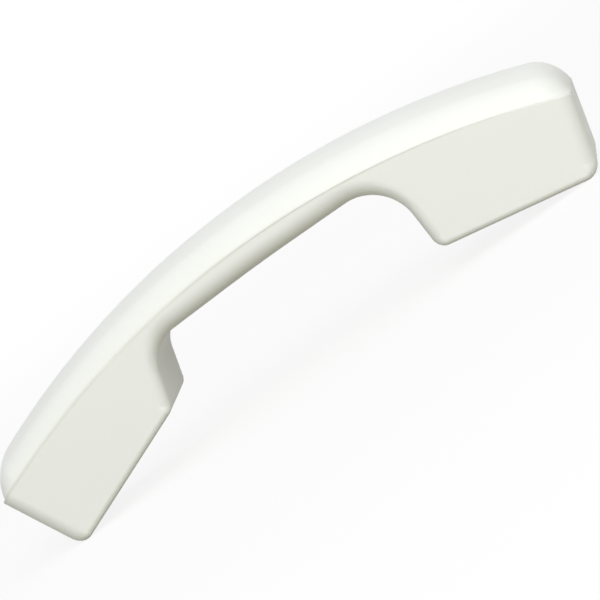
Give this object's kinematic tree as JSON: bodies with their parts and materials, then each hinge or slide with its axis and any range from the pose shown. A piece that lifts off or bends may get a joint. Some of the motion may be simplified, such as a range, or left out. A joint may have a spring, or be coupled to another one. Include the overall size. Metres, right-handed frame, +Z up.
{
  "type": "telephone handset",
  "caption": "Corded telephone handset: arched grip between a boxy mouthpiece and earpiece, two moulded shells with receiver, microphone, modular jack and ballast inside.",
  "frame": {"origin": "bottom centre of the handset lying face down on the outer edges of its two blocks", "axes": "+X from the mouthpiece to the earpiece, +Y across the width, +Z up towards the crowned back"},
  "size_m": [0.2136, 0.048, 0.0547],
  "materials": {
    "shell_plastic": "satin, lightly textured moulding",
    "screw_steel": "zinc plated",
    "dust_cloth": "fine woven",
    "black_rubber": "matte",
    "black_plastic": "satin",
    "clear_film": "thin film",
    "copper_winding": "enamelled wire",
    "magnet_steel": "nickel plated",
    "board_brown": "paper laminate",
    "tinned_brass": "tinned",
    "suppressor_coat": "dipped coating",
    "grey_plastic": "satin",
    "can_aluminium": "drawn can",
    "jack_plastic": "smooth moulding",
    "contact_gold": "gold plated",
    "adhesive_foam": "soft",
    "ballast_steel": "mill finish",
    "lead_red": "smooth insulation",
    "lead_green": "smooth insulation",
    "lead_black": "smooth insulation",
    "lead_yellow": "smooth insulation"
  },
  "bodies": {
    "handset": {"rear_cover": "shell_plastic", "front_housing": "shell_plastic", "housing_screws": "screw_steel", "receiver_clamp_screws": "screw_steel", "ear_dust_cloth": "dust_cloth", "mouth_dust_cloth": "dust_cloth", "receiver_gasket": "black_rubber", "microphone_boot": "black_rubber", "receiver_front_cap": "black_plastic", "receiver_frame": "black_plastic", "receiver_magnet": "magnet_steel", "receiver_pole_plate": "magnet_steel", "receiver_yoke": "magnet_steel", "receiver_terminal_board": "board_brown", "microphone_back_board": "board_brown", "receiver_terminals": "tinned_brass", "click_suppressor": "suppressor_coat", "receiver_clamp": "grey_plastic", "microphone_capsule": "can_aluminium", "jack_body": "jack_plastic", "jack_insert": "jack_plastic", "jack_contact_leads": "contact_gold", "ballast_pad": "adhesive_foam", "ballast_weight": "ballast_steel", "receiver_lead_red": "lead_red", "receiver_lead_green": "lead_green", "microphone_lead_black": "lead_black", "microphone_lead_yellow": "lead_yellow"},
    "receiver_cone": {"receiver_diaphragm": "clear_film", "receiver_voice_coil": "copper_winding"},
    "contact_springs": {"jack_contacts": "contact_gold"}
  },
  "joints": [
    {"name": "receiver_cone_slide", "type": "slide", "parent": "handset", "child": "receiver_cone", "axis": [0.1891, 0, 0.982], "range_m": [-0.00025, 0.00025], "stiffness_N_per_m": 1000},
    {"name": "jack_contact_flex", "type": "hinge", "parent": "handset", "child": "contact_springs", "pos_m": [-0.097, 0, 0.01907], "axis": [0, -1, 0], "range_deg": [0, 10], "stiffness_Nm_per_rad": 0.18}
  ]
}
